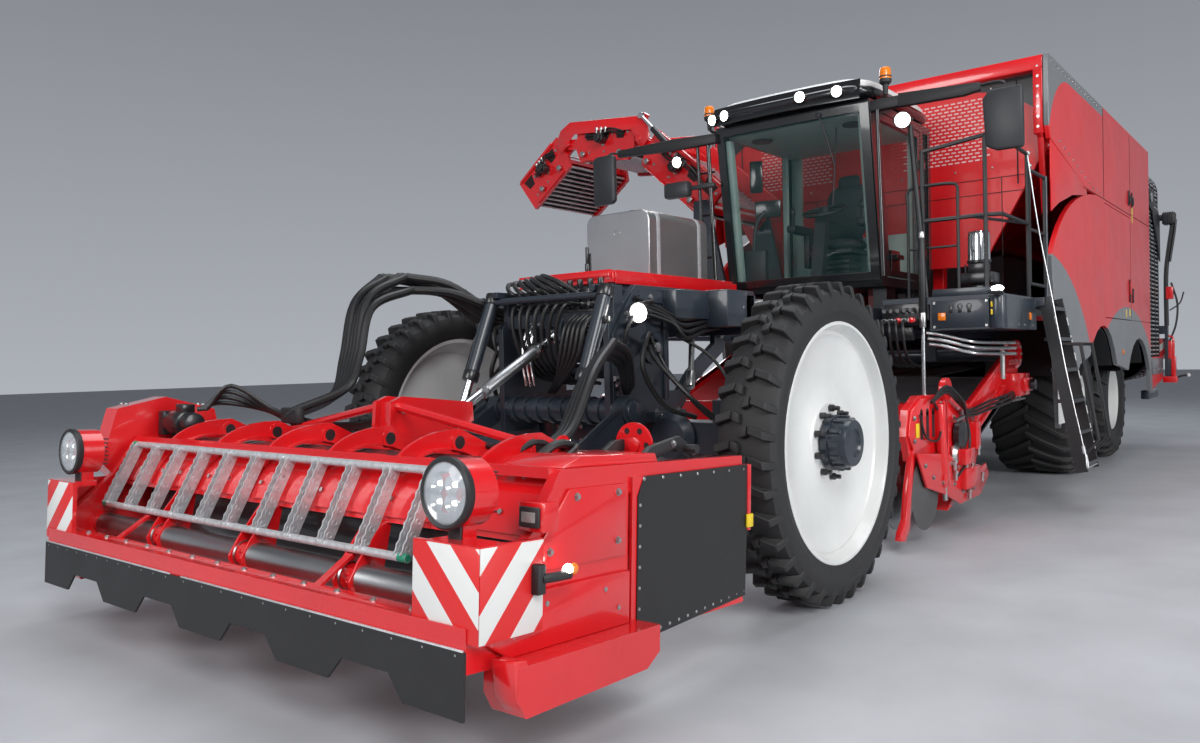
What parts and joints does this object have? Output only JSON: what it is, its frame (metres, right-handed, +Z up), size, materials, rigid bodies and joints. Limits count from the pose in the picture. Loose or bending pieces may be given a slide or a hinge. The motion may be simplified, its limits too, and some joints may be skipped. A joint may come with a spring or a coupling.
{
  "type": "self-propelled potato harvester",
  "caption": "Self-propelled potato harvester with a folding haulm topper, digging unit, side cab, large bunker and a folding unloading elevator.",
  "frame": {"origin": "centre of the bounding box at ground level", "axes": "+X forward along the direction of travel, +Y to the left, +Z up"},
  "size_m": [13.687, 5.8588, 4],
  "materials": {
    "red_paint": "gloss",
    "dark_paint": "satin",
    "black_paint": "satin",
    "grey_paint": "satin",
    "tyre_rubber": "matte",
    "web_rubber": "matte",
    "bare_steel": "satin",
    "seat_cloth": "matte"
  },
  "bodies": {
    "chassis": {"main_frame": "dark_paint", "front_frame": "dark_paint", "deck": "red_paint", "elevator_bracket": "dark_paint", "rear_frame": "dark_paint", "front_axle": "dark_paint", "rear_axles": "dark_paint", "fuel_tank": "bare_steel", "cab_frame": "black_paint", "cab_roof": "black_paint", "driver_seat": "seat_cloth", "steering_column": "black_paint", "platform": "dark_paint", "railing": "black_paint", "bunker_left_side": "red_paint", "bunker_right_side": "red_paint", "bunker_front": "red_paint", "bunker_hopper": "red_paint", "body_left": "red_paint", "body_right": "red_paint", "engine_block": "grey_paint", "sieving_web": "bare_steel", "ring_elevator": "web_rubber"},
    "left_knuckle": {"left_knuckle": "dark_paint"},
    "right_knuckle": {"right_knuckle": "dark_paint"},
    "front_left_wheel": {"front_left_wheel": "tyre_rubber"},
    "front_right_wheel": {"front_right_wheel": "tyre_rubber"},
    "middle_left_wheel": {"middle_left_wheel": "tyre_rubber"},
    "middle_right_wheel": {"middle_right_wheel": "tyre_rubber"},
    "rear_left_wheel": {"rear_left_wheel": "tyre_rubber"},
    "rear_right_wheel": {"rear_right_wheel": "tyre_rubber"},
    "cab_door": {"cab_door": "black_paint"},
    "platform_gate": {"platform_gate": "black_paint"},
    "ladder": {"ladder": "black_paint"},
    "left_service_door": {"left_service_door": "red_paint"},
    "right_service_door": {"right_service_door": "red_paint"},
    "lift_arms": {"lift_arms": "dark_paint"},
    "lift_barrels": {"lift_barrels": "dark_paint"},
    "lift_rods": {"lift_rods": "bare_steel"},
    "top_link": {"top_link": "bare_steel"},
    "header": {"header_frame": "red_paint", "header_step": "bare_steel", "header_flap": "web_rubber"},
    "topper_rotor": {"topper_rotor": "black_paint"},
    "digger": {"digger_frame": "red_paint", "digger_web": "bare_steel"},
    "ridge_rollers": {"ridge_rollers": "bare_steel"},
    "elevator_base": {"elevator_base": "red_paint"},
    "elevator_middle": {"elevator_middle": "red_paint"},
    "elevator_tip": {"elevator_tip": "red_paint"},
    "elevator_barrel": {"elevator_barrel": "dark_paint"},
    "elevator_rod": {"elevator_rod": "bare_steel"}
  },
  "joints": [
    {"name": "left_steer", "type": "hinge", "parent": "chassis", "child": "left_knuckle", "pos_m": [4.0665, 1.83215, 0.875], "axis": [0, 0, 1], "range_deg": [-20, 20]},
    {"name": "right_steer", "type": "hinge", "parent": "chassis", "child": "right_knuckle", "pos_m": [4.0665, -0.40785, 0.875], "axis": [0, 0, 1], "range_deg": [-20, 20]},
    {"name": "front_left_wheel_spin", "type": "hinge", "parent": "left_knuckle", "child": "front_left_wheel", "pos_m": [4.0665, 2.21215, 0.875], "axis": [0, 1, 0], "continuous": true},
    {"name": "front_right_wheel_spin", "type": "hinge", "parent": "right_knuckle", "child": "front_right_wheel", "pos_m": [4.0665, -0.78785, 0.875], "axis": [0, 1, 0], "continuous": true},
    {"name": "middle_left_wheel_spin", "type": "hinge", "parent": "chassis", "child": "middle_left_wheel", "pos_m": [-2.3335, 1.86215, 0.745], "axis": [0, 1, 0], "continuous": true},
    {"name": "middle_right_wheel_spin", "type": "hinge", "parent": "chassis", "child": "middle_right_wheel", "pos_m": [-2.3335, -0.43785, 0.745], "axis": [0, 1, 0], "continuous": true},
    {"name": "rear_left_wheel_spin", "type": "hinge", "parent": "chassis", "child": "rear_left_wheel", "pos_m": [-4.2835, 1.86215, 0.745], "axis": [0, 1, 0], "continuous": true},
    {"name": "rear_right_wheel_spin", "type": "hinge", "parent": "chassis", "child": "rear_right_wheel", "pos_m": [-4.2835, -0.43785, 0.745], "axis": [0, 1, 0], "continuous": true},
    {"name": "header_lift", "type": "hinge", "parent": "chassis", "child": "lift_arms", "pos_m": [4.5165, 0.71215, 1.05], "axis": [0, -1, 0], "range_deg": [0, 50]},
    {"name": "header_level", "type": "hinge", "parent": "lift_arms", "child": "header", "pos_m": [5.3665, 0.71215, 0.61], "axis": [0, -1, 0], "range_deg": [-50, 0]},
    {"name": "top_link_swing", "type": "hinge", "parent": "chassis", "child": "top_link", "pos_m": [4.5165, 0.71215, 1.52], "axis": [0, -1, 0], "range_deg": [0, 50]},
    {"name": "lift_barrels_swing", "type": "hinge", "parent": "chassis", "child": "lift_barrels", "pos_m": [4.6265, 0.71215, 1.73], "axis": [0, -1, 0], "range_deg": [0, 21]},
    {"name": "lift_rods_slide", "type": "slide", "parent": "lift_barrels", "child": "lift_rods", "axis": [0.3902, 0, -0.9208], "range_m": [-0.41, 0]},
    {"name": "topper_rotor_spin", "type": "hinge", "parent": "header", "child": "topper_rotor", "pos_m": [6.1247, 0.71215, 0.61542], "axis": [0, 1, 0], "continuous": true},
    {"name": "digger_lift", "type": "hinge", "parent": "chassis", "child": "digger", "pos_m": [-0.2835, 0.71215, 1.33], "axis": [0, -1, 0], "range_deg": [-2, 10]},
    {"name": "ridge_rollers_spin", "type": "hinge", "parent": "digger", "child": "ridge_rollers", "pos_m": [2.3065, 0.71215, 0.43], "axis": [0, 1, 0], "continuous": true},
    {"name": "elevator_lift", "type": "hinge", "parent": "chassis", "child": "elevator_base", "pos_m": [1.0165, -0.42827, 2.85983], "axis": [1, 0, 0], "range_deg": [-12, 20]},
    {"name": "elevator_fold", "type": "hinge", "parent": "elevator_base", "child": "elevator_middle", "pos_m": [1.0165, -1.18785, 3.64], "axis": [1, 0, 0], "range_deg": [-35, 20]},
    {"name": "elevator_tip_fold", "type": "hinge", "parent": "elevator_middle", "child": "elevator_tip", "pos_m": [1.0165, -2.16785, 3.74], "axis": [1, 0, 0], "range_deg": [-40, 25]},
    {"name": "fold_barrel_swing", "type": "hinge", "parent": "elevator_base", "child": "elevator_barrel", "pos_m": [1.0645, -0.77405, 3.47366], "axis": [1, 0, 0], "range_deg": [-8, 5]},
    {"name": "fold_rod_slide", "type": "slide", "parent": "elevator_barrel", "child": "elevator_rod", "axis": [0, -0.6769, 0.736], "range_m": [-0.14, 0.08]},
    {"name": "cab_door_hinge", "type": "hinge", "parent": "chassis", "child": "cab_door", "pos_m": [0.2565, 1.46645, 2.01], "axis": [0, 0, 1], "range_deg": [0, 72]},
    {"name": "platform_gate_hinge", "type": "hinge", "parent": "chassis", "child": "platform_gate", "pos_m": [-0.0985, 2.43215, 1.8], "axis": [0, 0, -1], "range_deg": [0, 90]},
    {"name": "ladder_swing", "type": "hinge", "parent": "chassis", "child": "ladder", "pos_m": [0.3765, 2.50215, 1.765], "axis": [1, 0, 0], "range_deg": [0, 90]},
    {"name": "left_service_door_hinge", "type": "hinge", "parent": "chassis", "child": "left_service_door", "pos_m": [-2.5565, 2.45215, 1.708], "axis": [0, 0, -1], "range_deg": [0, 95]},
    {"name": "right_service_door_hinge", "type": "hinge", "parent": "chassis", "child": "right_service_door", "pos_m": [-2.5565, -1.02785, 1.708], "axis": [0, 0, 1], "range_deg": [0, 95]}
  ],
  "couplings": [
    {"joint": "right_steer", "follows": "left_steer", "ratio": 1},
    {"joint": "header_level", "follows": "header_lift", "ratio": -1},
    {"joint": "top_link_swing", "follows": "header_lift", "ratio": 1},
    {"joint": "lift_barrels_swing", "follows": "header_lift", "ratio": 0.4},
    {"joint": "lift_rods_slide", "follows": "header_lift", "m_per_rad": -0.4618},
    {"joint": "fold_barrel_swing", "follows": "elevator_fold", "ratio": 0.2},
    {"joint": "fold_rod_slide", "follows": "elevator_fold", "m_per_rad": 0.2}
  ]
}
